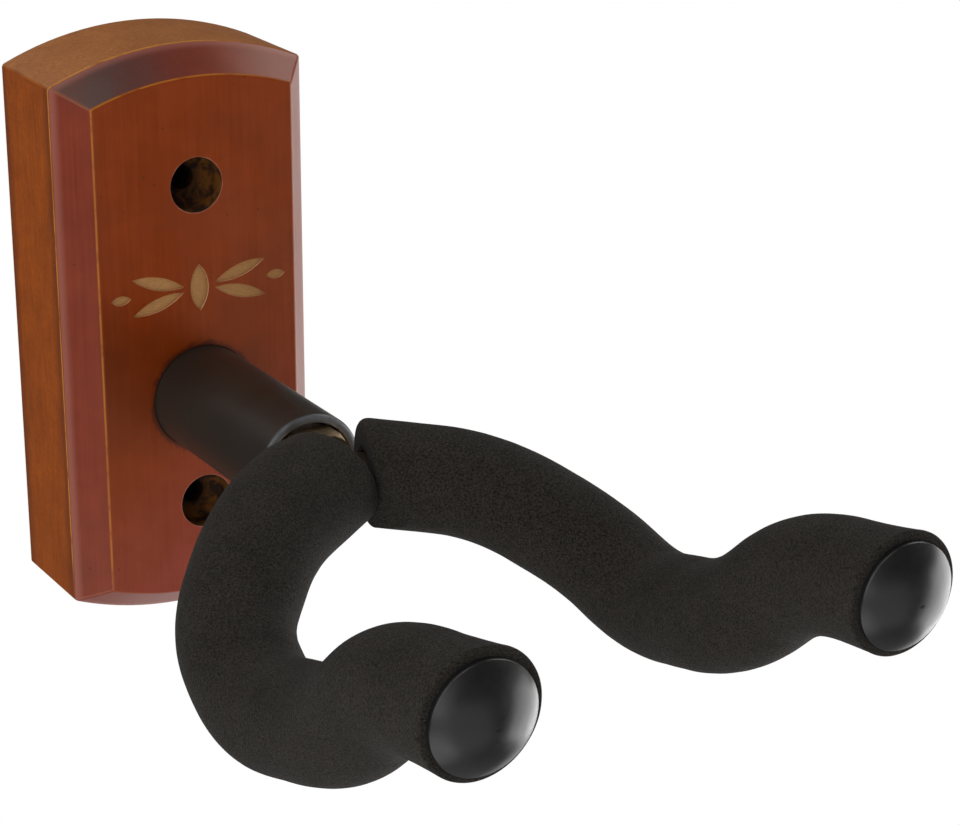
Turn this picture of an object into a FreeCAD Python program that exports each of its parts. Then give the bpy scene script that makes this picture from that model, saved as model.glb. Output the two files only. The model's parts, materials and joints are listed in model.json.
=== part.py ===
"""Wall guitar hanger: a lacquered wood block, a steel standoff tube and a swivelling padded yoke.

Units are millimetres. The origin is on the wall, midway between the two wall screws. X is to the
right when facing the wall, Y points into the wall (the front of the hanger is toward -Y), Z is up.
Every part is modelled about the swivel axis, then lowered by SWIVEL_DROP into that frame.
"""
import FreeCAD, Part
import math
import os

V = FreeCAD.Vector

# The axis that the yoke swivels on, square to the wall and below the middle of the wall screws
SWIVEL_DROP = 11.3
AXIS_ORIGIN = V(0, 0, 0)
TO_WALL = V(0, 1, 0)
TO_FRONT = V(0, -1, 0)

# Wood block, with heights measured from the swivel axis
BLOCK_WIDTH = 58.0
BLOCK_SIDE_HEIGHT = 114.4
BLOCK_ARCH_RISE = 6.2
BLOCK_THICKNESS = 31.4
BLOCK_CENTRE_Z = 12.6
SIDE_CHAMFER_WIDTH = 6.1
SIDE_CHAMFER_DEPTH = 7.7
END_CHAMFER_DROP = 5.8
END_CHAMFER_DEPTH = 7.4
BLOCK_EDGE_R = 1.0

# Wall screw holes, drilled from the front with a pointed bit
SCREW_SPACING = 71.6
COUNTERBORE_R = 6.0
COUNTERBORE_DEPTH = 5.0
DRILL_POINT_ANGLE = 118.0
SCREW_HOLE_R = 2.65

# Leaf ornament engraved in the block's face: x, z from its middle, length, width, degrees
ENGRAVING_DEPTH = 0.4
ORNAMENT_Z = 24.6
ORNAMENT_MIDDLE_LEAF = (0, 0, 10.5, 4.4, 90)
ORNAMENT_SIDE_LEAVES = (
    (9.6, 2.3, 12.5, 2.9, 16),
    (9.6, -2.3, 12.5, 2.9, -16),
    (18.2, 0, 4.6, 2.1, 0),
)

# Standoff tube and its hidden flange
TUBE_R = 11.4
TUBE_WALL = 1.95
TUBE_REAR_Y = -3.0
TUBE_MOUTH_Y = -79.6
TUBE_GAP = 0.15
LIP_R = 0.9
FLANGE_R = 19.0
FLANGE_THICKNESS = 2.5
RECESS_R = 20.0
WELD_R = 1.2
FLANGE_SCREW_CIRCLE_R = 15.4
FLANGE_SCREW_ANGLES = (30.0, 150.0, 270.0)
FLANGE_SCREW_R = 1.7
FLANGE_SCREW_HOLE_R = 1.8
FLANGE_SCREW_LENGTH = 15.0
FLANGE_SCREW_HEAD_R = 3.0
FLANGE_SCREW_HEAD_HEIGHT = 2.0
FLANGE_SCREW_SLOT_WIDTH = 0.8
FLANGE_SCREW_SLOT_DEPTH = 1.0

# Swivel: an M10 stud in two plain bushes
STUD_R = 4.95
STUD_REAR_Y = -3.4
STUD_FRONT_Y = -90.6
STUD_END_CHAMFER = 0.8
RUNNING_GAP = 0.08
THREAD_GAP = 0.03
FACE_GAP = 0.05
NUT_FLATS = 16.0
NUT_CHAMFER = 0.8
JAM_NUT_HEIGHT = 6.6
WASHER_R = 9.1
WASHER_THICKNESS = 2.0
THRUST_WASHER_R = 9.2
THRUST_WASHER_THICKNESS = 1.0
BUSH_LENGTH = 14.0
FRONT_WASHER_Y = -77.6
LOCK_NUT_REAR_Y = -4.2
LOCK_NUT_HEX_HEIGHT = 7.0
LOCK_NUT_COLLAR_HEIGHT = 2.0
LOCK_NUT_COLLAR_R = 6.9
INSERT_R = 6.1
INSERT_HEIGHT = 2.2
SPRING_THICKNESS = 0.9
SPRING_HEIGHT = 1.5

# Yoke rod: the right half's corner points, from the middle of the yoke to the tip
ROD_R = 4.0
ROD_SEAT_BEND_R = 9.0
ROD_MIDDLE = V(0, -92.7, 4.3)
ROD_POINTS = (
    V(24.5, -107, 1),
    V(39.5, -121.5, -10),
    V(42.5, -139, -16.5),
    V(41, -166.5, -8.5),
    V(42, -185, 9.5),
    V(41.7, -210, 14.1),
)
BEND_SHARE = 0.45
ROD_END_CHAMFER = 0.6

# Foam sleeves
FOAM_R = 10.7
FOAM_BORE_R = 4.3
FOAM_START = 3.7
FOAM_MEETING_GAP = 0.4

# End caps
CAP_R = 9.8
CAP_RIM_HEIGHT = 0.9
CAP_EDGE_R = 0.5
CAP_DOME_HEIGHT = 4.0
CAP_SOCKET_R = 5.6
CAP_SOCKET_DEPTH = 5.5
CAP_GAP = 0.05

TUBE_BORE_R = TUBE_R - TUBE_WALL
SCREW_HOLE_Z = (SWIVEL_DROP + SCREW_SPACING / 2, SWIVEL_DROP - SCREW_SPACING / 2)


def ring(outer_r, inner_r, y_front, y_rear):
    """A plain ring on the swivel axis between two Y positions."""
    start = V(0, y_front, 0)
    body = Part.makeCylinder(outer_r, y_rear - y_front, start, TO_WALL)
    return body.cut(Part.makeCylinder(inner_r, y_rear - y_front, start, TO_WALL))


def disc(radius, y_front, y_rear, x=0.0, z=0.0):
    return Part.makeCylinder(radius, y_rear - y_front, V(x, y_front, z), TO_WALL)


def turned(profile):
    """A solid of revolution about the swivel axis from (radius, y) points."""
    points = [V(radius, y, 0) for radius, y in profile]
    face = Part.Face(Part.makePolygon(points + points[:1]))
    return face.revolve(AXIS_ORIGIN, TO_WALL, 360)


def fillet_edges(shape, radius, wanted):
    edges = [edge for edge in shape.Edges if wanted(edge)]
    return shape.makeFillet(radius, edges)


def hex_prism(flats, y_front, y_rear):
    """A hexagonal prism with a flat on top and 30 degree chamfers on both ends."""
    corner_r = flats / math.sqrt(3)
    corners = []
    for index in range(7):
        angle = math.radians(60 * index)
        corners.append(V(corner_r * math.cos(angle), y_front, corner_r * math.sin(angle)))
    prism = Part.Face(Part.makePolygon(corners)).extrude(V(0, y_rear - y_front, 0))
    slope = NUT_CHAMFER * math.tan(math.radians(30))
    barrel = turned((
        (0, y_front),
        (corner_r - NUT_CHAMFER, y_front),
        (corner_r + 0.01, y_front + slope),
        (corner_r + 0.01, y_rear - slope),
        (corner_r - NUT_CHAMFER, y_rear),
        (0, y_rear),
    ))
    return prism.common(barrel)


# ---------------------------------------------------------------- wood block

def block_plan():
    """The block's plan outline with the two long front chamfers, drawn up its full height."""
    half = BLOCK_WIDTH / 2
    front = -BLOCK_THICKNESS
    shoulder = front + SIDE_CHAMFER_DEPTH
    low = BLOCK_CENTRE_Z - BLOCK_SIDE_HEIGHT / 2 - BLOCK_ARCH_RISE
    high = BLOCK_CENTRE_Z + BLOCK_SIDE_HEIGHT / 2 + BLOCK_ARCH_RISE
    points = [
        V(-half, 0, low),
        V(-half, shoulder, low),
        V(-half + SIDE_CHAMFER_WIDTH, front, low),
        V(half - SIDE_CHAMFER_WIDTH, front, low),
        V(half, shoulder, low),
        V(half, 0, low),
    ]
    face = Part.Face(Part.makePolygon(points + points[:1]))
    return face.extrude(V(0, 0, high - low))


def arch_form(side):
    """A disc on Y whose rim makes one arched end of the block, with that end's front chamfer."""
    radius = BLOCK_WIDTH ** 2 / (8 * BLOCK_ARCH_RISE) + BLOCK_ARCH_RISE / 2
    apex = BLOCK_CENTRE_Z + side * (BLOCK_SIDE_HEIGHT / 2 + BLOCK_ARCH_RISE)
    centre_z = apex - side * radius
    back_depth = BLOCK_THICKNESS - END_CHAMFER_DEPTH
    back = disc(radius, -back_depth, 0, z=centre_z)
    bevel = Part.makeCone(radius, radius - END_CHAMFER_DROP, END_CHAMFER_DEPTH,
                          V(0, -back_depth, centre_z), V(0, -1, 0))
    return back.fuse(bevel).removeSplitter()


def screw_hole(z):
    point_depth = (COUNTERBORE_R - SCREW_HOLE_R) / math.tan(math.radians(DRILL_POINT_ANGLE / 2))
    floor_y = -BLOCK_THICKNESS + COUNTERBORE_DEPTH
    bore = disc(COUNTERBORE_R, -BLOCK_THICKNESS - 1, floor_y, z=z)
    point = Part.makeCone(COUNTERBORE_R, SCREW_HOLE_R, point_depth, V(0, floor_y, z), TO_WALL)
    through = disc(SCREW_HOLE_R, floor_y, 1, z=z)
    return bore.fuse(point).fuse(through)


def leaf_pocket(x, z, length, width, degrees):
    """A pocket in the block's face, bounded by two arcs that meet in a point at each end."""
    start = V(-length / 2, 0, 0)
    end = V(length / 2, 0, 0)
    upper = Part.Arc(start, V(0, 0, width / 2), end).toShape()
    lower = Part.Arc(end, V(0, 0, -width / 2), start).toShape()
    pocket = Part.Face(Part.Wire([upper, lower])).extrude(V(0, ENGRAVING_DEPTH + 1, 0))
    pocket.rotate(AXIS_ORIGIN, TO_WALL, -degrees)
    pocket.translate(V(x, -BLOCK_THICKNESS - 1, ORNAMENT_Z + z))
    return pocket


def ornament_pockets():
    pockets = [leaf_pocket(*ORNAMENT_MIDDLE_LEAF)]
    for x, z, length, width, degrees in ORNAMENT_SIDE_LEAVES:
        for side in (1, -1):
            pockets.append(leaf_pocket(side * x, z, length, width, side * degrees))
    return pockets


def screw_places():
    for degrees in FLANGE_SCREW_ANGLES:
        angle = math.radians(degrees)
        yield FLANGE_SCREW_CIRCLE_R * math.cos(angle), FLANGE_SCREW_CIRCLE_R * math.sin(angle)


def make_wood_block():
    block = block_plan().common(arch_form(1)).common(arch_form(-1)).removeSplitter()
    block = fillet_edges(block, BLOCK_EDGE_R, lambda edge: edge.CenterOfMass.y < -0.1)
    for z in SCREW_HOLE_Z:
        block = block.cut(screw_hole(z))
    block = block.cut(ornament_pockets())
    plate_front = TUBE_REAR_Y - FLANGE_THICKNESS
    block = block.cut(disc(TUBE_R + TUBE_GAP, -BLOCK_THICKNESS - 1, 1))
    block = block.cut(disc(RECESS_R, plate_front, 1))
    pilot_front = TUBE_REAR_Y - FLANGE_SCREW_LENGTH - 1
    for x, z in screw_places():
        block = block.cut(disc(FLANGE_SCREW_HOLE_R, pilot_front, 1, x, z))
    return block


# ---------------------------------------------------------------- standoff

def make_standoff_tube():
    tube = ring(TUBE_R, TUBE_BORE_R, TUBE_MOUTH_Y, TUBE_REAR_Y)
    return fillet_edges(tube, LIP_R, lambda edge: edge.BoundBox.YMax < TUBE_MOUTH_Y + 0.1)


def make_tube_flange():
    plate = ring(FLANGE_R, TUBE_R + TUBE_GAP, TUBE_REAR_Y - FLANGE_THICKNESS, TUBE_REAR_Y)
    for x, z in screw_places():
        plate = plate.cut(disc(FLANGE_SCREW_HOLE_R, -BLOCK_THICKNESS, 0, x, z))
    return plate


def make_flange_weld():
    """A half-round bead over the joint between the tube's rear end and the flange."""
    start = V(TUBE_R - WELD_R, TUBE_REAR_Y, 0)
    crown = V(TUBE_R, TUBE_REAR_Y + WELD_R, 0)
    end = V(TUBE_R + WELD_R, TUBE_REAR_Y, 0)
    outline = Part.Wire([Part.Arc(start, crown, end).toShape(), Part.makeLine(end, start)])
    bead = Part.Face(outline).revolve(AXIS_ORIGIN, TO_WALL, 360)
    return bead.cut(disc(TUBE_BORE_R, TUBE_REAR_Y - 1, 0))


def make_flange_screws():
    screws = []
    for x, z in screw_places():
        shank = disc(FLANGE_SCREW_R, TUBE_REAR_Y - FLANGE_SCREW_LENGTH, TUBE_REAR_Y, x, z)
        tip = Part.makeCone(FLANGE_SCREW_R, 0.3, 2 * FLANGE_SCREW_R,
                            V(x, TUBE_REAR_Y - FLANGE_SCREW_LENGTH, z), V(0, -1, 0))
        tip = tip.common(disc(FLANGE_SCREW_R, TUBE_REAR_Y - FLANGE_SCREW_LENGTH - 0.9, 0, x, z))
        head = disc(FLANGE_SCREW_HEAD_R, TUBE_REAR_Y, TUBE_REAR_Y + FLANGE_SCREW_HEAD_HEIGHT, x, z)
        head = fillet_edges(head, 0.8, lambda edge: edge.BoundBox.YMin > TUBE_REAR_Y + 0.5)
        screw = shank.fuse(tip).fuse(head)
        for length, width in ((1, 0), (0, 1)):
            size_x = 4.0 * length + FLANGE_SCREW_SLOT_WIDTH * width
            size_z = 4.0 * width + FLANGE_SCREW_SLOT_WIDTH * length
            top = TUBE_REAR_Y + FLANGE_SCREW_HEAD_HEIGHT
            corner = V(x - size_x / 2, top - FLANGE_SCREW_SLOT_DEPTH, z - size_z / 2)
            screw = screw.cut(Part.makeBox(size_x, FLANGE_SCREW_SLOT_DEPTH + 1, size_z, corner))
        screws.append(screw)
    return Part.makeCompound(screws)


# ---------------------------------------------------------------- swivel

def swivel_stations():
    """Y positions of the parts stacked on the stud, worked out from both ends."""
    place = {}
    place["front_washer"] = (FRONT_WASHER_Y, FRONT_WASHER_Y + WASHER_THICKNESS)
    thrust_front = place["front_washer"][1] + FACE_GAP
    place["front_thrust"] = (thrust_front, thrust_front + THRUST_WASHER_THICKNESS)
    bush_front = place["front_thrust"][1]
    place["front_bush"] = (bush_front, bush_front + BUSH_LENGTH)
    nut_front = LOCK_NUT_REAR_Y - LOCK_NUT_COLLAR_HEIGHT - LOCK_NUT_HEX_HEIGHT
    place["lock_nut"] = (nut_front, LOCK_NUT_REAR_Y)
    place["rear_washer"] = (nut_front - WASHER_THICKNESS, nut_front)
    spring_rear = place["rear_washer"][0]
    place["spring"] = (spring_rear - SPRING_HEIGHT, spring_rear)
    thrust_rear = place["spring"][0] - FACE_GAP
    place["rear_thrust"] = (thrust_rear - THRUST_WASHER_THICKNESS, thrust_rear)
    bush_rear = place["rear_thrust"][0]
    place["rear_bush"] = (bush_rear - BUSH_LENGTH, bush_rear)
    place["spacer"] = (place["front_bush"][1], place["rear_bush"][0])
    return place


PLACE = swivel_stations()


def make_bush(name):
    return ring(TUBE_BORE_R, STUD_R + RUNNING_GAP, *PLACE[name])


def make_spacer_tube():
    return ring(TUBE_BORE_R - 0.2, STUD_R + 1.2, *PLACE["spacer"])


def make_thrust_washer(name):
    return ring(THRUST_WASHER_R, STUD_R + RUNNING_GAP, *PLACE[name])


def make_washer(name):
    washer = ring(WASHER_R, STUD_R + THREAD_GAP, *PLACE[name])
    return fillet_edges(washer, 0.3, lambda edge: edge.BoundBox.XLength > 2 * WASHER_R - 0.1)


def make_pivot_stud():
    stud = disc(STUD_R, STUD_FRONT_Y, STUD_REAR_Y)
    rear_edge = [edge for edge in stud.Edges if edge.BoundBox.YMin > STUD_REAR_Y - 0.1]
    stud = stud.makeChamfer(STUD_END_CHAMFER, rear_edge)
    return stud.cut(ROD)


def make_jam_nut():
    nut = hex_prism(NUT_FLATS, FRONT_WASHER_Y - JAM_NUT_HEIGHT, FRONT_WASHER_Y)
    return nut.cut(disc(STUD_R + THREAD_GAP, FRONT_WASHER_Y - JAM_NUT_HEIGHT, FRONT_WASHER_Y))


def make_lock_nut():
    front, rear = PLACE["lock_nut"]
    hex_rear = front + LOCK_NUT_HEX_HEIGHT
    nut = hex_prism(NUT_FLATS, front, hex_rear)
    collar = disc(LOCK_NUT_COLLAR_R, hex_rear - 0.5, rear)
    collar = fillet_edges(collar, 0.6, lambda edge: edge.BoundBox.YMin > rear - 0.1)
    nut = nut.fuse(collar).cut(disc(STUD_R + THREAD_GAP, front, rear))
    return nut.cut(disc(INSERT_R, rear - INSERT_HEIGHT, rear))


def make_lock_nut_insert():
    rear = PLACE["lock_nut"][1]
    return ring(INSERT_R, STUD_R + THREAD_GAP, rear - INSERT_HEIGHT, rear)


def make_spring_washer():
    """A disc spring: a shallow cone that bears on its inner edge in front, its outer edge behind."""
    front, rear = PLACE["spring"]
    inner = STUD_R + 0.3
    return turned((
        (inner, front),
        (WASHER_R, rear - SPRING_THICKNESS),
        (WASHER_R, rear),
        (inner, front + SPRING_THICKNESS),
    ))


# ---------------------------------------------------------------- yoke

def mirrored(point, side):
    return V(side * point.x, point.y, point.z)


def rounded_path(points, radii):
    """Straight runs joined by tangent arcs; radii holds one bend radius per inner corner."""
    edges = []
    current = points[0]
    for index, radius in enumerate(radii):
        corner = points[index + 1]
        back = (points[index] - corner).normalize()
        ahead = (points[index + 2] - corner).normalize()
        half_turn = (math.pi - back.getAngle(ahead)) / 2
        reach = radius * math.tan(half_turn)
        start = corner + back * reach
        end = corner + ahead * reach
        centre_way = (back + ahead).normalize()
        crown = corner + centre_way * (radius / math.cos(half_turn) - radius)
        edges.append(Part.makeLine(current, start))
        edges.append(Part.Arc(start, crown, end).toShape())
        current = end
    edges.append(Part.makeLine(current, points[-1]))
    return Part.Wire(edges)


def bend_radii(points):
    """The largest bends that the runs allow: each takes BEND_SHARE of its shorter run."""
    radii = []
    for index in range(1, len(points) - 1):
        back = points[index - 1] - points[index]
        ahead = points[index + 1] - points[index]
        half_turn = (math.pi - back.getAngle(ahead)) / 2
        radii.append(BEND_SHARE * min(back.Length, ahead.Length) / math.tan(half_turn))
    return radii


def arm_points(side):
    """One arm from where its sleeve starts to its tip."""
    first = ROD_POINTS[0] - ROD_MIDDLE
    start = ROD_MIDDLE + first.normalize() * FOAM_START
    return [mirrored(point, side) for point in (start,) + ROD_POINTS]


def arm_sweep(side, radius, extra=0.0):
    """One arm as a thick line that runs on by extra beyond its tip."""
    points = arm_points(side)
    points[-1] = points[-1] + (points[-1] - points[-2]).normalize() * extra
    path = rounded_path(points, bend_radii(points))
    profile = Part.Wire(Part.makeCircle(radius, points[0], points[1] - points[0]))
    return path.makePipeShell([profile], True, True)


def make_full_rod():
    """One rod bent from tip to tip, with a tight bend where the stud is welded on."""
    right = arm_points(1)
    radii = bend_radii(right)
    points = [mirrored(point, -1) for point in reversed(ROD_POINTS)] + [ROD_MIDDLE] + list(ROD_POINTS)
    path = rounded_path(points, radii[::-1] + [ROD_SEAT_BEND_R] + radii)
    profile = Part.Wire(Part.makeCircle(ROD_R, points[0], points[1] - points[0]))
    return path.makePipeShell([profile], True, True)


ROD = make_full_rod()


def make_yoke_rod():
    return ROD.copy()


def sleeve_clearance(side):
    """The space that a sleeve's start takes, with a little room around it."""
    points = arm_points(side)
    along = (points[1] - points[0]).normalize()
    start = points[0] - along * FOAM_MEETING_GAP
    return Part.makeCylinder(FOAM_R + FOAM_MEETING_GAP, 2 * FOAM_R, start, along)


def make_yoke_weld():
    """A fillet bead around the stud where it meets the rod, clear of both sleeves."""
    bead = turned((
        (STUD_R, STUD_FRONT_Y + 4.4),
        (STUD_R + 0.7, STUD_FRONT_Y + 4.0),
        (STUD_R + 2.0, STUD_FRONT_Y + 2.2),
        (STUD_R + 2.3, STUD_FRONT_Y),
        (STUD_R, STUD_FRONT_Y),
    ))
    return bead.cut(ROD).cut(sleeve_clearance(1)).cut(sleeve_clearance(-1))


def rod_end_hole(side):
    """The room that the rod's end takes inside its cap."""
    points = arm_points(side)
    outward = (points[-1] - points[-2]).normalize()
    length = CAP_SOCKET_DEPTH + 2 * ROD_R
    return Part.makeCylinder(ROD_R + 0.02, length, points[-1] - outward * (length - CAP_GAP), outward)


def make_foam_sleeve(side):
    """A thick foam tube on one arm; where the two meet, the left one pushes into the right one."""
    spare = FOAM_R / 4
    sleeve = arm_sweep(side, FOAM_R, spare).cut(arm_sweep(side, FOAM_BORE_R, spare))
    tip = arm_points(side)[-1]
    sleeve = sleeve.cut(Part.makeCylinder(2 * FOAM_R, 2 * FOAM_R, tip, TO_FRONT))
    socket_rear = tip + TO_WALL * (CAP_SOCKET_DEPTH + 0.5)
    sleeve = sleeve.cut(Part.makeCylinder(CAP_SOCKET_R + 0.3, CAP_SOCKET_DEPTH + 1, socket_rear, TO_FRONT))
    if side > 0:
        sleeve = sleeve.cut(sleeve_clearance(-1))
    return sleeve


def make_end_cap(side):
    """A domed cap that faces straight forward, with a socket that pushes onto the rod's end."""
    rear = CAP_GAP
    rim = rear + CAP_RIM_HEIGHT
    sphere_r = (CAP_R ** 2 + CAP_DOME_HEIGHT ** 2) / (2 * CAP_DOME_HEIGHT)
    dome = Part.makeSphere(sphere_r, V(0, 0, rim + CAP_DOME_HEIGHT - sphere_r))
    body = Part.makeCylinder(CAP_R, CAP_RIM_HEIGHT + CAP_DOME_HEIGHT, V(0, 0, rear)).common(dome)
    rim_edges = [edge for edge in body.Edges
                 if edge.BoundBox.ZMin > rear + 0.1 and edge.BoundBox.ZLength < 0.01]
    body = body.makeFillet(CAP_EDGE_R, rim_edges)
    cap = body.fuse(Part.makeCylinder(CAP_SOCKET_R, CAP_SOCKET_DEPTH, V(0, 0, rear - CAP_SOCKET_DEPTH)))
    cap.Placement = FreeCAD.Placement(arm_points(side)[-1], FreeCAD.Rotation(V(0, 0, 1), TO_FRONT))
    return cap.cut(rod_end_hole(side))


def build_nodes():
    return {
        "wood_block": make_wood_block(),
        "standoff_tube": make_standoff_tube(),
        "tube_flange": make_tube_flange(),
        "flange_weld": make_flange_weld(),
        "flange_screws": make_flange_screws(),
        "front_bush": make_bush("front_bush"),
        "rear_bush": make_bush("rear_bush"),
        "spacer_tube": make_spacer_tube(),
        "front_thrust_washer": make_thrust_washer("front_thrust"),
        "rear_thrust_washer": make_thrust_washer("rear_thrust"),
        "front_washer": make_washer("front_washer"),
        "rear_washer": make_washer("rear_washer"),
        "spring_washer": make_spring_washer(),
        "pivot_stud": make_pivot_stud(),
        "jam_nut": make_jam_nut(),
        "lock_nut": make_lock_nut(),
        "lock_nut_insert": make_lock_nut_insert(),
        "yoke_rod": make_yoke_rod(),
        "yoke_weld": make_yoke_weld(),
        "foam_sleeve_left": make_foam_sleeve(-1),
        "foam_sleeve_right": make_foam_sleeve(1),
        "end_cap_left": make_end_cap(-1),
        "end_cap_right": make_end_cap(1),
    }


def main():
    os.makedirs("parts", exist_ok=True)
    for name, shape in build_nodes().items():
        shape.translate(V(0, 0, -SWIVEL_DROP))
        shape.exportStep("parts/" + name + ".step")
        box = shape.BoundBox
        print(name, len(shape.Solids), "solid(s)", "valid" if shape.isValid() else "INVALID",
              round(shape.Volume, 1), [round(value, 1) for value in
                                       (box.XMin, box.YMin, box.ZMin, box.XMax, box.YMax, box.ZMax)])


main()
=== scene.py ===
"""Looks of the wall guitar hanger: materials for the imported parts, foam sleeves, studio and camera.

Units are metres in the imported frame: the origin is on the wall, midway between the two wall screws,
+X to the right when facing the wall, +Y into the wall, +Z up.
"""
import json
import math

import bpy
from mathutils import Matrix, Vector, noise


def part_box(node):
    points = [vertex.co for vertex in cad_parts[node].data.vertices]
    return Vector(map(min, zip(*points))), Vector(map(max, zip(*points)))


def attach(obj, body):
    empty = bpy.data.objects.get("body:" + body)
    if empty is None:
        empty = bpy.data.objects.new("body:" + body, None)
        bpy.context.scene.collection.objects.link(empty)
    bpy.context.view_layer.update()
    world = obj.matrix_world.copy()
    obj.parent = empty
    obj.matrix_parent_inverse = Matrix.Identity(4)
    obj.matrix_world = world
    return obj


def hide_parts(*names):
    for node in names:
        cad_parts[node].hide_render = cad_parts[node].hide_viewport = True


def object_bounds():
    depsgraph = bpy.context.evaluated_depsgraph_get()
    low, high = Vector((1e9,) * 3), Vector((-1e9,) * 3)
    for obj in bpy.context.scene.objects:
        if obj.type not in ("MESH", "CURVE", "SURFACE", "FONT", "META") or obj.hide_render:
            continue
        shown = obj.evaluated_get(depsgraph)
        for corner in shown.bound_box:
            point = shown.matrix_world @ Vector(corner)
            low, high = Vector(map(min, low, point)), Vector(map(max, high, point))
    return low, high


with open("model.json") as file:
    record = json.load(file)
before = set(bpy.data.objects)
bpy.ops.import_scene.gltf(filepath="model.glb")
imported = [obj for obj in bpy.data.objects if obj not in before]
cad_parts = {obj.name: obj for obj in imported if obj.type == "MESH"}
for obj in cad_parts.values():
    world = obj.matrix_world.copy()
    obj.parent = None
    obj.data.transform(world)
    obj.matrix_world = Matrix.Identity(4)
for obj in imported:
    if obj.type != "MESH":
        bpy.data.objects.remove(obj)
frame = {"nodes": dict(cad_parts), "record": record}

MM = 0.001
cad_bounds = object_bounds()

# Places that the materials need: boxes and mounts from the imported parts, then the block's own sizes
TUBE_LOW, TUBE_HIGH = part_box("standoff_tube")
FRONT_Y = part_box("wood_block")[0].y
AXIS_Z = (TUBE_LOW.z + TUBE_HIGH.z) / 2
TUBE_R = (TUBE_HIGH.z - TUBE_LOW.z) / 2
HOLE_Z = frame["record"]["mounts"][0]["dims"]["spacing_y_mm"] / 2 * MM
COUNTERBORE_R = 6.0 * MM
CHAMFER_REAR_Y = FRONT_Y + 7.7 * MM
ORNAMENT_Z = AXIS_Z + 24.6 * MM
ORNAMENT_HALF_HEIGHT = 6.5 * MM

# Right arm's centreline: where the rod leaves the middle, its bends and its tip (the left mirrors it)
ROD_MIDDLE = Vector((0, -92.7, 4.3)) * MM
ROD_BENDS = [Vector(point) * MM for point in (
    (24.5, -107, 1),
    (39.5, -121.5, -10),
    (42.5, -139, -16.5),
    (41, -166.5, -8.5),
    (42, -185, 9.5),
    (41.7, -210, 14.1),
)]
BEND_SHARE = 0.45
BEND_STEPS = 16

# The foam sleeves; where the two differ, 1 is the right arm and -1 the left
FOAM_START = {1: 4.3 * MM, -1: 3.7 * MM}
FOAM_R = 10.7 * MM
FOAM_BORE_R = 4.4 * MM
FOAM_SIDES = 112
FOAM_STEP = 0.55 * MM
FOAM_BORE_RINGS = 24
FOAM_EDGE_STEPS = 5
FOAM_START_EDGE_R = 1.6 * MM
FOAM_TIP_EDGE_R = 0.5 * MM
FOAM_FLARE = 0.55 * MM
FOAM_FLARE_REACH = 13 * MM
FOAM_CREASE = 0.16 * MM
FULL_CREASE_CURL = 45.0
CURL_REACH = 6
LEAST_CURL = 1e-6
FOAM_TIP_LIFT = {1: 0.2 * MM, -1: 0.35 * MM}
FOAM_TIP_FACING = Vector((0, -1, 0))
START_FACING = {1: Vector((0.956, -0.292, 0)), -1: Vector((-0.86, -0.50, -0.30)).normalized()}
START_SKEW_REACH = 14 * MM
TIP_SKEW_REACH = 10 * MM
SHOULDER = 2.6 * MM
SHOULDER_RISE = 11 * MM
SHOULDER_REACH = 75 * MM
SHOULDER_TOWARD = Vector((-0.59, 0.39, 0.70)).normalized()
MEETING_GAP = 0.12 * MM

# The camera, at the photograph's viewing angle
CAMERA_PLACE = Vector((-0.229, -0.505, 0.1867))
CAMERA_YAW = math.radians(-32.32)
CAMERA_PITCH = math.radians(21.07)
CAMERA_ROLL = math.radians(0.45)
CAMERA_LENS = 97.2

# The studio
FLOOR_Z = -1.5
FLOOR_REACH = 9.0
FLOOR_GREY = 0.5
WORLD_LIGHT = 0.1
PANEL_DISTANCE = 1.2
# Soft panels: degrees from +X toward +Y, degrees up, half width and half height in degrees, radiance
PANELS = {
    "behind": (55, -32, 36, 26, 0.8),
    "right": (-8, -20, 30, 24, 3.1),
    "front": (-110, -19, 38, 31, 0.60),
    "left": (-156, 22, 30, 26, 1.6),
    "lower_left": (-160, -48, 30, 20, 1.4),
    "upper_right": (5, 38, 13, 14, 3.2),
    "overhead": (-128, 70, 15, 15, 1.6),
    "upper_rear": (120, 48, 24, 20, 1.0),
}
OBJECT_MIDDLE = (cad_bounds[0] + cad_bounds[1]) / 2


# ---------------------------------------------------------------- node helpers

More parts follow.
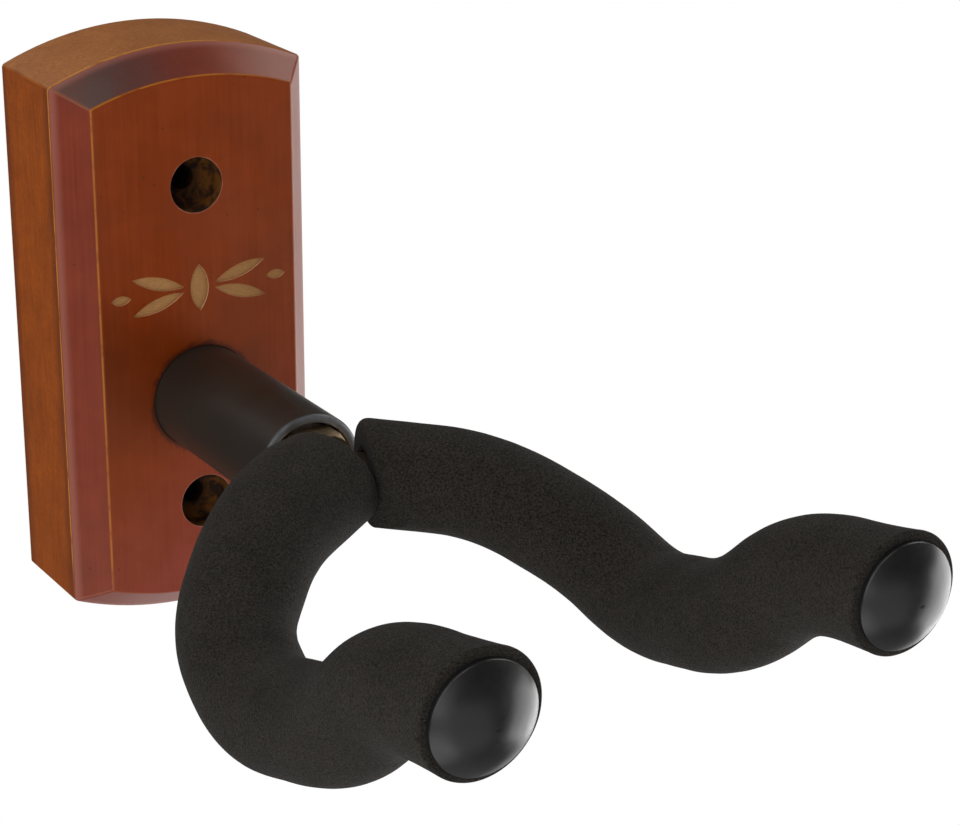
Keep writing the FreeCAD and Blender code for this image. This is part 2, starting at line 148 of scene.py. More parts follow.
class Paint:
    """A Principled material that is put together from a few kinds of node."""

    def __init__(self, name, **sockets):
        self.material = bpy.data.materials.new(name)
        self.material.use_nodes = True
        self.tree = self.material.node_tree
        self.shader = self.tree.nodes["Principled BSDF"]
        for socket, value in sockets.items():
            self.shader.inputs[socket.replace("_", " ")].default_value = value
        coordinates = self.node("TexCoord")
        self.place = coordinates.outputs["Object"]
        self.normal = coordinates.outputs["Normal"]

    def node(self, kind, inputs=None, **settings):
        made = self.tree.nodes.new("ShaderNode" + kind)
        for key, value in settings.items():
            setattr(made, key, value)
        for key, value in (inputs or {}).items():
            self.feed(made.inputs[key], value)
        return made

    def feed(self, socket, value):
        if isinstance(value, bpy.types.NodeSocket):
            self.tree.links.new(value, socket)
        else:
            socket.default_value = value

    def math(self, operation, first, second=0.0, clamp=False):
        return self.node("Math", {0: first, 1: second}, operation=operation, use_clamp=clamp).outputs[0]

    def product(self, *values):
        result = values[0]
        for value in values[1:]:
            result = self.math("MULTIPLY", result, value)
        return result

    def most(self, *values):
        result = values[0]
        for value in values[1:]:
            result = self.math("MAXIMUM", result, value)
        return result

    def step(self, value, low, high, to_low=0.0, to_high=1.0):
        """Rises smoothly from to_low to to_high as value goes from low to high."""
        return self.node("MapRange", {0: value, 1: low, 2: high, 3: to_low, 4: to_high},
                         interpolation_type="SMOOTHSTEP").outputs[0]

    def band(self, value, low, high, soft):
        """1 between low and high, fading out over soft on both sides."""
        return self.product(self.step(value, low - soft, low + soft),
                            self.step(value, high - soft, high + soft, 1, 0))

    def split(self, vector):
        return self.node("SeparateXYZ", {0: vector}).outputs

    def stretched(self, scale, turn=(0, 0, 0), vector=None):
        """The place, turned and then scaled along each axis, for streaks and scratches."""
        return self.node("Mapping", {"Vector": vector or self.place, "Scale": scale, "Rotation": turn},
                         vector_type="POINT").outputs[0]

    def noise(self, scale, detail=3.0, roughness=0.5, vector=None, distortion=0.0):
        return self.node("TexNoise", {"Vector": vector or self.place, "Scale": scale, "Detail": detail,
                                      "Roughness": roughness, "Distortion": distortion}).outputs[0]

    def cells(self, scale, feature="F1", vector=None, randomness=1.0):
        return self.node("TexVoronoi", {"Vector": vector or self.place, "Scale": scale,
                                        "Randomness": randomness}, feature=feature).outputs

    def mix(self, factor, first, second, blend="MIX"):
        made = self.node("Mix", data_type="RGBA", blend_type=blend, clamp_factor=True)
        self.feed(made.inputs[0], factor)
        for socket, value in ((made.inputs[6], first), (made.inputs[7], second)):
            self.feed(socket, value if isinstance(value, bpy.types.NodeSocket) else (*value, 1.0))
        return made.outputs[2]

    def scaled(self, colour, amount):
        """A colour made brighter or darker by amount."""
        grey = self.node("CombineColor", {0: amount, 1: amount, 2: amount}).outputs[0]
        return self.mix(1.0, colour, grey, "MULTIPLY")

    def bump(self, height, distance, strength=1.0, over=None):
        made = self.node("Bump", {"Height": height, "Distance": distance, "Strength": strength})
        if over is not None:
            self.feed(made.inputs["Normal"], over)
        return made.outputs[0]

    def finish(self, colour, roughness=None, normal=None):
        self.feed(self.shader.inputs["Base Color"], colour)
        if roughness is not None:
            self.feed(self.shader.inputs["Roughness"], roughness)
        if normal is not None:
            self.feed(self.shader.inputs["Normal"], normal)
        return self.material


# ---------------------------------------------------------------- wood

# Each face's stain where it is thin or deep, as mixed by the mottling
FRONT_STAIN = ((0.195, 0.0250, 0.0003), (0.265, 0.0370, 0.0006))
SIDE_STAIN = ((0.200, 0.0360, 0.0015), (0.420, 0.0900, 0.0050))
CHAMFER_STAIN = ((0.160, 0.0200, 0.0085), (0.232, 0.0320, 0.0120))
END_STAIN = ((0.295, 0.0880, 0.0190), (0.490, 0.1780, 0.0400))
# painted pink sheen of the lacquer, laid on the front toward its lower right
PAINTED_PINK_SHEEN = (0.255, 0.0410, 0.0250)
# painted shade for the dark left end of the top chamfer
PAINTED_CHAMFER_SHADE = (0.066, 0.040, 0.040)
BORDER_STAIN = (0.105, 0.022, 0.0070)
# painted shade for the dark ring round the tube's base
PAINTED_TUBE_SHADE = (0.045, 0.010, 0.004)
# painted highlight along the chamfers' outer borders
PAINTED_EDGE_HIGHLIGHT = (0.330, 0.110, 0.085)
PORE = (0.045, 0.012, 0.006)
WORN_INNER_EDGE = (0.430, 0.125, 0.004)
WORN_OUTER_EDGE = (0.540, 0.215, 0.034)
BURR = (0.38, 0.17, 0.12)
# hole walls: stained wood mottled with near-black painted shade
HOLE_WALL_AND_SHADE = ((0.012, 0.0012, 0.0001), (0.125, 0.0400, 0.0001))
ENGRAVED = ((0.270, 0.115, 0.033), (0.520, 0.270, 0.092))
ENGRAVED_WALL = (0.56, 0.32, 0.20)
SAWN = ((0.330, 0.160, 0.070), (0.520, 0.300, 0.150))
SAWN_SPLASH = (0.260, 0.105, 0.040)
WHITE = (1.0, 1.0, 1.0)


class Wood(Paint):
    """The block's lacquered wood, with the masks that tell its faces and features apart."""

    def __init__(self):
        super().__init__("lacquered_wood", Specular_IOR_Level=0.5, IOR=1.5,
                         Specular_Tint=(1.0, 0.80, 0.62, 1.0))
        self.x, self.y, self.z = self.split(self.place)
        self.find_faces()
        self.make_grain()
        self.find_edges()
        self.find_features()

    def around(self, x, z, z_centre):
        """Distance from an axis that is square to the wall and passes through x = 0, z = z_centre."""
        off = self.math("SUBTRACT", z, z_centre)
        return self.math("SQRT", self.math("ADD", self.product(x, x), self.product(off, off)))

    def find_faces(self):
        """Which way each face looks."""
        side_n, self.depth_n, self.end_n = self.split(self.normal)
        self.abs_side_n = self.math("ABSOLUTE", side_n)
        self.abs_end_n = self.math("ABSOLUTE", self.end_n)
        self.toward_front = self.math("MULTIPLY", self.depth_n, -1.0)
        square = self.band(self.depth_n, -0.3, 0.3, 0.1)
        self.chamfer = self.band(self.toward_front, 0.56, 0.68, 0.05)
        self.side = self.product(self.step(self.abs_side_n, 0.8, 0.95), square)
        self.end = self.product(self.step(self.abs_end_n, 0.7, 0.85), square)
        self.side_or_end = self.most(self.side, self.end)
        self.back = self.step(self.y, -0.15 * MM, -0.05 * MM)

    def make_grain(self):
        self.streaks = self.noise(1.0, 3, 0.6, self.stretched((1500, 1500, 34)))
        slanted = self.stretched((1500, 2300, 120), (math.radians(38), 0, 0))
        self.scratches = self.noise(1.0, 2, 0.7, slanted)
        self.clouds = self.noise(75, 3, 0.55)
        self.blotches = self.noise(150, 4, 0.6, distortion=0.4)
        self.hole_mottle = self.noise(300, 4, 0.6, distortion=0.5)
        self.ragged = self.step(self.noise(380, 4, 0.65), 0.3, 0.7, -0.5 * MM, 0.5 * MM)
        pores = self.cells(420)
        self.pore = self.product(self.step(pores["Distance"], 0.045, 0.13, 1, 0),
                                 self.step(self.split(pores["Color"])[0], 0.86, 0.90))

    def find_edges(self):
        """The rounded edges between the faces, told by their in-between normals, and how worn they are."""
        self.inner_edge = self.band(self.toward_front, 0.73, 0.91, 0.05)
        outer_edge = self.band(self.toward_front, 0.20, 0.46, 0.06)
        corner = self.product(self.band(self.depth_n, -0.1, 0.1, 0.03),
                              self.band(self.abs_side_n, 0.5, 0.93, 0.04),
                              self.step(self.abs_end_n, 0.2, 0.3))
        uneven = self.noise(1.0, 3, 0.65, self.stretched((260, 260, 190)))
        patchy = self.noise(1.0, 1, 0.5, self.stretched((40, 40, 34)))
        rubbed = self.product(self.step(uneven, 0.32, 0.52, 0.25, 1.0),
                              self.step(patchy, 0.28, 0.50, 0.55, 1.0))
        spared = self.product(self.step(self.x, 24 * MM, 4 * MM, 0.3, 1.0),
                              self.step(self.z, -53 * MM, -44 * MM, 0.25, 1.0))
        edges = self.most(self.inner_edge, outer_edge, self.product(corner, 0.4))
        self.wear = self.product(edges, rubbed, spared)

    def find_features(self):
        """The insides of the screw holes, and the engraved leaves."""
        self.from_hole = self.around(self.x, self.math("ABSOLUTE", self.z), HOLE_Z)
        self.inside = self.product(
            self.step(self.from_hole, COUNTERBORE_R + 0.30 * MM, COUNTERBORE_R + 0.20 * MM),
            self.step(self.y, FRONT_Y + 0.02 * MM, FRONT_Y + 0.2 * MM))
        self.outside = self.math("SUBTRACT", 1.0, self.inside)
        low, high = ORNAMENT_Z - ORNAMENT_HALF_HEIGHT, ORNAMENT_Z + ORNAMENT_HALF_HEIGHT
        self.cut = self.product(
            self.band(self.y, FRONT_Y + 0.12 * MM, FRONT_Y + 1.0 * MM, 0.05 * MM),
            self.step(self.math("ABSOLUTE", self.x), 22.5 * MM, 22.4 * MM),
            self.band(self.z, low, high, 0.1 * MM))

    def front_colour(self):
        """Pinker toward the lower right, a painted sheen of the lacquer, and darker left of the tube, a
        painted shade where the tube's dark reflection lies.
        """
        colour = self.mix(self.clouds, *FRONT_STAIN)
        toward_corner = self.math("SUBTRACT", self.product(self.x, 0.7), self.z)
        # painted sheen: the front grows pinker toward the lower right, where the lacquer reflects the lamps
        painted_sheen = self.product(self.step(toward_corner, 5 * MM, 55 * MM),
                            self.step(self.blotches, 0.2, 0.7, 0.6, 1.0))
        colour = self.mix(painted_sheen, colour, PAINTED_PINK_SHEEN)
        # painted shade: the front is darkened left of the tube, where the tube's dark reflection lies in
        # the lacquer
        from_painted_shade = self.around(self.math("ADD", self.x, 18 * MM), self.z, AXIS_Z + 6 * MM)
        return self.scaled(colour, self.step(from_painted_shade, 4 * MM, 26 * MM, 0.76, 1.0))

    def chamfer_colour(self):
        """Darker at the left end of the top chamfer: a painted shade for the dark reflection there."""
        colour = self.mix(self.clouds, *CHAMFER_STAIN)
        # painted shade: a dark reflection laid on the top chamfer's left end
        dark_reflection_painted = self.product(self.step(self.end_n, 0.15, 0.35), self.step(self.x, 8 * MM, -20 * MM))
        return self.mix(self.product(dark_reflection_painted, self.step(self.blotches, 0.2, 0.6, 0.6, 0.9)), colour,
                        PAINTED_CHAMFER_SHADE)

    def stained(self):
        """All the faces' stain, with grain along the front and fine mottling on the sides and ends."""
        colour = self.mix(self.chamfer, self.front_colour(), self.chamfer_colour())
        colour = self.mix(self.side, colour, self.mix(self.blotches, *SIDE_STAIN))
        colour = self.mix(self.end, colour, self.mix(self.blotches, *END_STAIN))
        grain = self.math("ADD", self.step(self.streaks, 0.3, 0.7, -0.055, 0.055),
                          self.step(self.blotches, 0.3, 0.7, 0.95, 1.05))
        scratched = self.scaled(WHITE, self.step(self.scratches, 0.35, 0.68, 0.84, 1.12))
        speckled = self.scaled(scratched, self.step(self.noise(1100, 3, 0.7), 0.32, 0.66, 0.86, 1.10))
        shade = self.mix(self.side_or_end, self.scaled(WHITE, grain), speckled)
        return self.mix(1.0, colour, shade, "MULTIPLY")

    def edged(self, colour):
        """Stain gathered beside the side faces' edges, pores, edges worn to bare wood, and a painted
        highlight beside the chamfers' outer edges.
        """
        border = self.most(self.step(self.y, -4.0 * MM, -0.3 * MM),
                           self.step(self.y, CHAMFER_REAR_Y + 4.5 * MM, CHAMFER_REAR_Y + 0.2 * MM))
        colour = self.mix(self.product(border, self.side, 0.6), colour, BORDER_STAIN)
        colour = self.mix(self.product(self.pore, 0.75), colour, PORE)
        bare = self.mix(self.inner_edge, WORN_OUTER_EDGE, WORN_INNER_EDGE)
        colour = self.mix(self.product(self.wear, 0.95), colour, bare)
        # painted highlight: a pale band along each chamfer's outer border, for the lacquer's reflection off
        # the rounded edge
        edge_highlight_painted = self.product(self.chamfer,
                            self.step(self.y, CHAMFER_REAR_Y - 2.2 * MM, CHAMFER_REAR_Y - 0.5 * MM))
        return self.mix(self.product(edge_highlight_painted, 0.7), colour, PAINTED_EDGE_HIGHLIGHT)

    def drilled(self, colour):
        """A dark ragged ring of painted shade round the tube's base; holes with a pale burr and rough
        stained walls, darkened with painted shade toward the middle.
        """
        # painted shade: a dark ragged ring on the wood round the tube's base
        from_tube = self.math("ADD", self.around(self.x, self.z, AXIS_Z), self.ragged)
        painted_shade_ring = self.step(from_tube, TUBE_R + 0.3 * MM, TUBE_R + 1.5 * MM, 1, 0)
        colour = self.mix(self.product(painted_shade_ring, 0.8), colour, PAINTED_TUBE_SHADE)
        burr = self.product(
            self.band(self.math("ADD", self.from_hole, self.product(self.ragged, 0.15)),
                      COUNTERBORE_R - 0.05 * MM, COUNTERBORE_R + 0.13 * MM, 0.09 * MM),
            self.step(self.noise(300, 2), 0.30, 0.60, 0.35, 1.0))
        on_front = self.step(self.toward_front, 0.9, 0.97)
        colour = self.mix(self.product(burr, 0.75, on_front), colour, BURR)
        # painted shade: the hole walls are mottled with near black and darkened toward the middle, where
        # the recess is deepest
        wall_and_shade = self.mix(self.step(self.hole_mottle, 0.42, 0.60), *HOLE_WALL_AND_SHADE)
        wall_and_shade = self.scaled(wall_and_shade, self.step(self.from_hole, 2.2 * MM, 5.0 * MM, 0.25, 1.0))
        return self.mix(self.inside, colour, wall_and_shade)

    def engraved(self, colour):
        """The leaves' bare wood, with the cutter's fine marks and paler walls."""
        marks = self.noise(1.0, 2, 0.6, self.stretched((900, 900, 3600), (0, math.radians(32), 0)))
        bare = self.mix(marks, *ENGRAVED)
        bare = self.mix(self.step(self.toward_front, 0.9, 0.6), bare, ENGRAVED_WALL)
        return self.mix(self.cut, colour, bare)

    def sawn(self, colour):
        """The back is bare, sawn and only splashed with stain."""
        saw = self.noise(1.0, 3, 0.7, self.stretched((60, 60, 1500), (0, math.radians(4), 0)))
        splash = self.step(self.noise(38, 4, 0.55), 0.42, 0.75, 0.0, 0.45)
        return self.mix(self.back, colour, self.mix(splash, self.mix(saw, *SAWN), SAWN_SPLASH))

    def roughness(self):
        smear = self.step(self.noise(26, 3, 0.55), 0.3, 0.7, 0.29, 0.38)
        lacquer = self.math("ADD", smear, self.product(self.step(self.streaks, 0.3, 0.7), 0.05))
        dull = self.most(*(self.product(mask, extra) for mask, extra in (
            (self.side, 0.24), (self.end, 0.12), (self.inside, 0.5), (self.cut, 0.35), (self.back, 0.5),
            (self.wear, 0.25))))
        return self.math("ADD", lacquer, dull, clamp=True)

    def relief(self):
        height = self.math("ADD", self.product(self.streaks, 0.35, self.outside),
                           self.product(self.noise(900, 2), 0.25))
        for lump in (self.product(self.side_or_end, self.scratches, 0.5, self.outside),
                     self.product(self.most(self.inside, self.cut), self.hole_mottle, 3.0),
                     self.product(self.pore, -1.2)):
            height = self.math("ADD", height, lump)
        fine = self.bump(height, 0.022 * MM, 0.55)
        return self.bump(self.noise(55, 2, 0.4), 0.10 * MM, 0.35, fine)


def lacquered_wood():
    wood = Wood()
    colour = wood.sawn(wood.engraved(wood.drilled(wood.edged(wood.stained()))))
    return wood.finish(colour, wood.roughness(), wood.relief())


# ---------------------------------------------------------------- metals and plastics

def powder_coat():
    paint = Paint("black_powder_coat", Specular_IOR_Level=0.5)
    y = paint.split(paint.place)[1]
    peel = paint.noise(1300, 2, 0.5)
    dust = paint.cells(900)
    speck = paint.product(paint.step(dust["Distance"], 0.05, 0.16, 1, 0),
                          paint.step(paint.split(dust["Color"])[1], 0.94, 0.96))
    cloud = paint.noise(60, 3, 0.5)
    colour = paint.mix(cloud, (0.0160, 0.0125, 0.0090), (0.0220, 0.0170, 0.0120))
    colour = paint.mix(paint.product(speck, 0.5), colour, (0.10, 0.085, 0.07))
    # rubbed paint at the tube's mouth, made pale and bluish so that it also serves as a painted highlight
    # on the lip
    rubbed = paint.product(paint.step(y, TUBE_LOW.y + 0.9 * MM, TUBE_LOW.y + 0.1 * MM),
                           paint.step(paint.noise(300, 3), 0.30, 0.62, 0.45, 1.0))
    colour = paint.mix(paint.product(rubbed, 0.75), colour, (0.160, 0.165, 0.178))
    roughness = paint.math("ADD", paint.step(cloud, 0.3, 0.7, 0.36, 0.44), paint.product(peel, 0.06))
    return paint.finish(colour, roughness, paint.bump(peel, 0.02 * MM, 0.5))


def zinc(name, bright, dull, tint, roughness, specks=0.3, soot=0.0):
    """Plated steel: faint spangle, rub marks and tinted patches, and soot near the yoke's weld."""
    paint = Paint(name, Metallic=1.0)
    patches = paint.noise(260, 4, 0.6, distortion=0.8)
    fine = paint.noise(1.0, 3, 0.7, paint.stretched((2500, 400, 2500)))
    colour = paint.mix(paint.step(patches, 0.35, 0.65), dull, bright)
    colour = paint.mix(paint.step(paint.noise(120, 3), 0.5, 0.7, 0, 0.6), colour, tint)
    stain = paint.step(paint.noise(900, 2), 0.66, 0.74, 0, specks)
    colour = paint.mix(stain, colour, tuple(channel * 0.25 for channel in dull))
    near_weld = paint.step(paint.split(paint.place)[1], TUBE_LOW.y - 5.2 * MM, TUBE_LOW.y - 7.5 * MM)
    sooty = paint.product(near_weld, paint.step(patches, 0.2, 0.6, 0.75, 1.0), soot)
    colour = paint.mix(sooty, colour, (0.030, 0.024, 0.020))
    rough = paint.math("ADD", paint.step(patches, 0.3, 0.7, roughness, roughness + 0.12),
                       paint.math("ADD", paint.product(fine, 0.08), paint.product(sooty, 0.2)))
    normal = paint.bump(paint.math("ADD", fine, paint.product(paint.noise(1500, 2), 0.6)), 0.012 * MM, 0.5)
    return paint.finish(colour, rough, normal)


def turned_steel():
    paint = Paint("bare_steel", Metallic=1.0)
    lathe = paint.noise(1.0, 2, 0.5, paint.stretched((8, 3200, 8)))
    oil = paint.noise(90, 3, 0.6)
    colour = paint.mix(lathe, (0.30, 0.29, 0.28), (0.46, 0.455, 0.45))
    colour = paint.mix(paint.step(oil, 0.5, 0.7, 0, 0.5), colour, (0.16, 0.125, 0.09))
    return paint.finish(colour, paint.step(oil, 0.3, 0.7, 0.38, 0.22), paint.bump(lathe, 0.02 * MM, 0.5))


def welded_steel():
    """Overlapping ripples of a welding pass, with heat tint and soot."""
    paint = Paint("weld", Metallic=0.85)
    x, _, z = paint.split(paint.place)
    angle = paint.math("ARCTAN2", paint.math("SUBTRACT", z, AXIS_Z), x)
    wobble = paint.product(paint.noise(700, 2), 1.2)
    ripples = paint.math("SINE", paint.math("ADD", paint.product(angle, 44.0), wobble))
    heat = paint.noise(240, 3, 0.6)
    colour = paint.mix(paint.step(heat, 0.35, 0.65), (0.19, 0.165, 0.145), (0.33, 0.30, 0.29))
    colour = paint.mix(paint.step(ripples, -0.2, -1.0, 0, 0.6), colour, (0.05, 0.042, 0.036))
    colour = paint.mix(paint.step(paint.noise(150, 2), 0.55, 0.7, 0, 0.45), colour, (0.16, 0.10, 0.14))
    height = paint.math("ADD", ripples, paint.product(paint.noise(1600, 3), 0.5))
    return paint.finish(colour, paint.step(heat, 0.3, 0.7, 0.36, 0.55), paint.bump(height, 0.10 * MM, 0.6))


def nylon(name, pale, deep):
    paint = Paint(name, Subsurface_Weight=0.12, Subsurface_Scale=0.001, Specular_IOR_Level=0.45)
    flow = paint.noise(160, 3, 0.5, distortion=0.7)
    turned = paint.noise(1.0, 2, 0.6, paint.stretched((120, 2600, 120)))
    colour = paint.mix(paint.step(flow, 0.35, 0.65), pale, deep)
    grease = paint.step(paint.noise(330, 3), 0.58, 0.72, 0, 0.35)
    colour = paint.mix(grease, colour, tuple(channel * 0.3 for channel in deep))
    return paint.finish(colour, paint.step(flow, 0.3, 0.7, 0.38, 0.52), paint.bump(turned, 0.015 * MM, 0.5))


def black_foam():
    """Closed-cell foam: fine matte cells, a few open pores darkened with painted shade, and faint lint."""
    paint = Paint("black_foam", Specular_IOR_Level=0.12, Sheen_Weight=0.03, Sheen_Roughness=0.6)
    cells = paint.cells(2300, "F1")
    grain = paint.noise(2600, 3, 0.75)
    cloud = paint.noise(110, 3, 0.5)
    big = paint.cells(700)
    pit_and_shade = paint.product(paint.step(big["Distance"], 0.08, 0.22, 1, 0),
                        paint.step(paint.split(big["Color"])[0], 0.90, 0.93))
    colour = paint.mix(paint.step(grain, 0.30, 0.72), (0.0050, 0.0042, 0.0034), (0.0430, 0.0365, 0.0295))
    colour = paint.scaled(colour, paint.step(cloud, 0.3, 0.7, 0.92, 1.10))
    # painted shade: the open pores are darkened to near black
    colour = paint.mix(paint.product(pit_and_shade, 0.6), colour, (0.004, 0.004, 0.004))
    threads = paint.noise(1.0, 1, 0.5, paint.stretched((500, 4200, 2600), (0.5, 0.4, 0.9)))
    lint = paint.step(threads, 0.80, 0.83)
    colour = paint.mix(paint.product(lint, 0.5), colour, (0.075, 0.070, 0.064))
    height = paint.math("ADD", grain, paint.product(cells["Distance"], 0.7))
    height = paint.math("SUBTRACT", height, paint.product(pit_and_shade, 1.2))
    rough = paint.step(grain, 0.3, 0.7, 0.95, 0.82)
    return paint.finish(colour, rough, paint.bump(height, 0.16 * MM, 0.65))


def gloss_black():
    """Moulded plastic: orange peel, faint moulding swirl and handling marks."""
    paint = Paint("gloss_black", Specular_IOR_Level=0.5, IOR=1.5)
    smudge = paint.noise(140, 4, 0.6, distortion=1.2)
    haze = paint.noise(1.0, 3, 0.7, paint.stretched((300, 900, 2400), (0.3, 0.2, 0.1)))
    marks = paint.noise(1.0, 1, 0.5, paint.stretched((260, 900, 5200), (0.9, 0.5, 0.3)))
    scuff = paint.step(marks, 0.80, 0.83)
    colour = paint.mix(smudge, (0.0060, 0.0060, 0.0062), (0.0120, 0.0118, 0.0116))
    colour = paint.mix(paint.product(scuff, 0.2), colour, (0.04, 0.04, 0.04))
    rough = paint.math("ADD", paint.step(smudge, 0.35, 0.70, 0.28, 0.37), paint.product(haze, 0.05))
    rough = paint.math("ADD", rough, paint.product(scuff, 0.15))
    peel = paint.bump(paint.noise(420, 2, 0.4), 0.03 * MM, 0.35)
    waves = paint.bump(paint.noise(95, 2, 0.4), 0.12 * MM, 0.35, peel)
    return paint.finish(colour, rough, waves)


def make_materials():
    return {
        "lacquered_wood": lacquered_wood(),
        "black_powder_coat": powder_coat(),
        "zinc_steel": zinc("zinc_steel", (0.66, 0.67, 0.69), (0.46, 0.47, 0.49), (0.52, 0.54, 0.60), 0.26),
        "yellow_zinc": zinc("yellow_zinc", (0.70, 0.53, 0.33), (0.50, 0.36, 0.20), (0.62, 0.50, 0.44), 0.28,
                            soot=0.95),
        "bare_steel": turned_steel(),
        "spring_steel": zinc("spring_steel", (0.22, 0.21, 0.20), (0.11, 0.105, 0.10), (0.15, 0.13, 0.16),
                             0.34),
        "weld": welded_steel(),
        "nylon": nylon("nylon", (0.74, 0.70, 0.60), (0.64, 0.60, 0.50)),
        "nylon_blue": nylon("nylon_blue", (0.060, 0.160, 0.42), (0.045, 0.120, 0.33)),
        "black_foam": black_foam(),
        "gloss_black": gloss_black(),
    }


# ---------------------------------------------------------------- foam sleeves

def arm_line(side):
    """Evenly spaced points along one arm's centreline, from where its sleeve starts to its tip."""
    middle = ROD_MIDDLE + (ROD_BENDS[0] - ROD_MIDDLE).normalized() * FOAM_START[side]
    corners = [Vector((side * point.x, point.y, point.z + AXIS_Z)) for point in [middle] + ROD_BENDS]
    rough = [corners[0]]
    for before, corner, after in zip(corners, corners[1:], corners[2:]):
        reach = BEND_SHARE * min((corner - before).length, (after - corner).length)
        start = corner + (before - corner).normalized() * reach
        end = corner + (after - corner).normalized() * reach
        for index in range(BEND_STEPS + 1):
            share = index / BEND_STEPS
            rough.append(start * (1 - share) ** 2 + corner * 2 * share * (1 - share) + end * share ** 2)
    rough.append(corners[-1])
    return evenly(rough, FOAM_STEP)


def evenly(points, spacing):
    lengths = [0.0]
    for first, second in zip(points, points[1:]):
        lengths.append(lengths[-1] + (second - first).length)
    count = round(lengths[-1] / spacing)
    result = []
    index = 0
    for number in range(count + 1):
        target = lengths[-1] * number / count
        while index < len(points) - 2 and lengths[index + 1] < target:
            index += 1
        share = (target - lengths[index]) / (lengths[index + 1] - lengths[index])
        result.append(points[index].lerp(points[index + 1], share))
    return result


def carried_frames(line):
    """Along, across and third directions at each point, carried along without twist."""
    frames = []
    across = None
    for index, point in enumerate(line):
        before = line[max(index - 1, 0)]
        after = line[min(index + 1, len(line) - 1)]
        along = (after - before).normalized()
        if across is None:
            across = along.cross(Vector((0, 0, 1))).normalized()
        across = (across - along * across.dot(along)).normalized()
        frames.append((along, across, along.cross(across)))
    return frames


def face_rings(distance, edge_r):
    """A flat end face, from the bore to where the edge starts to round."""
    width = FOAM_R - edge_r - FOAM_BORE_R
    return [(distance, FOAM_BORE_R + width * share, 0.3) for share in (0.0, 0.3, 0.6, 0.85)]


def edge_rings(distance, edge_r, inward):
    """A rounded edge, from the end face to the skin; inward is +1 at the start and -1 at the tip."""
    rings = []
    for index in range(FOAM_EDGE_STEPS + 1):
        turn = math.radians(90 * index / FOAM_EDGE_STEPS)
        rounding = inward * edge_r * (1 - math.cos(turn))
        rings.append((distance + rounding, FOAM_R - edge_r * (1 - math.sin(turn)), 0.6))
    return rings


def sleeve_stations(length):
    """(distance along, radius, share of relief) for every ring: start face, skin, end face, bore."""
    stations = face_rings(0.0, FOAM_START_EDGE_R) + edge_rings(0.0, FOAM_START_EDGE_R, 1)
    skin_length = length - FOAM_START_EDGE_R - FOAM_TIP_EDGE_R
    skin_rings = round(skin_length / FOAM_STEP)
    for index in range(1, skin_rings):
        stations.append((FOAM_START_EDGE_R + skin_length * index / skin_rings, FOAM_R, 1.0))
    stations += edge_rings(length, FOAM_TIP_EDGE_R, -1)[::-1] + face_rings(length, FOAM_TIP_EDGE_R)[::-1]
    for index in range(1, FOAM_BORE_RINGS):
        stations.append((length * (1 - index / FOAM_BORE_RINGS), FOAM_BORE_R, 0.0))
    return stations


def foam_relief(place, inward, curl):
    """How far the skin stands off its true radius: soft lumps, and creases inside the tight bends."""
    lumps = 0.10 * MM * noise.noise(place * 70) + 0.045 * MM * noise.noise(place * 260)
    grip = max(0.0, inward) ** 2 * min(curl / FULL_CREASE_CURL, 1.0)
    ripple = noise.noise(Vector((place.x * 90, place.y * 420, place.z * 420)))
    return lumps - grip * FOAM_CREASE * (0.5 + ripple)


def fading(distance, reach):
    """1 at distance 0, falling smoothly to 0 at reach."""
    return max(0.0, 1 - distance / reach) ** 2


LEFT_START = arm_line(-1)[0]


def shoulder(distance):
    """How much thicker the left sleeve is where the tube's mouth pushes against its upper left side."""
    rise = min(1.0, 0.2 + 0.8 * distance / SHOULDER_RISE)
    return SHOULDER * rise * max(0.0, 1 - distance / SHOULDER_REACH)


def skewed(outward, along, facing, spread):
    """How far along a point of the skin moves so that the sleeve's end face looks toward facing."""
    return along * (-spread * facing.dot(outward) / facing.dot(along))


def pressed_back(place):
    """Where the left sleeve's flat start face presses into the right sleeve."""
    depth = (place - LEFT_START).dot(START_FACING[-1]) + MEETING_GAP
    return place - START_FACING[-1] * max(0.0, depth)


def bend_at(frames, index, step):
    """How tightly the arm bends at a point (1/m), and which way is the inside of the bend."""
    low = frames[max(index - CURL_REACH, 0)][0]
    high = frames[min(index + CURL_REACH, len(frames) - 1)][0]
    bend = (high - low) / (2 * CURL_REACH * step)
    toward = bend.normalized() if bend.length > LEAST_CURL else frames[index][1]
    return bend.length, toward


def sleeve_vertices(side):
    """Rings of points round one arm, in the order of its stations."""
    line = arm_line(side)
    frames = carried_frames(line)
    step = (line[-1] - line[-2]).length
    length = step * (len(line) - 1)
    vertices = []
    for distance, radius, share in sleeve_stations(length):
        spot = min(distance / step, len(line) - 1.001)
        index = int(spot)
        centre = line[index].lerp(line[index + 1], spot - index)
        along, across, third = frames[round(spot)]
        curl, toward = bend_at(frames, index, step)
        near_tip = fading(length - distance, FOAM_FLARE_REACH) if radius > FOAM_BORE_R else 0.0
        tip_skew = fading(length - distance, TIP_SKEW_REACH)
        start_skew = fading(distance, START_SKEW_REACH)
        for turn in range(FOAM_SIDES):
            angle = 2 * math.pi * turn / FOAM_SIDES
            outward = across * math.cos(angle) + third * math.sin(angle)
            spread = radius + FOAM_FLARE * near_tip
            if share:
                spread += share * foam_relief(centre + outward * radius, outward.dot(toward), curl)
            if side < 0 and radius > FOAM_BORE_R:
                spread += shoulder(distance) * max(0.0, outward.dot(SHOULDER_TOWARD))
            place = centre + outward * spread
            place += skewed(outward, along, FOAM_TIP_FACING, spread) * tip_skew
            place += skewed(outward, along, START_FACING[side], spread) * start_skew
            place.z += FOAM_TIP_LIFT[side] * near_tip
            vertices.append(pressed_back(place) if side > 0 and distance < FOAM_R else place)
    return vertices


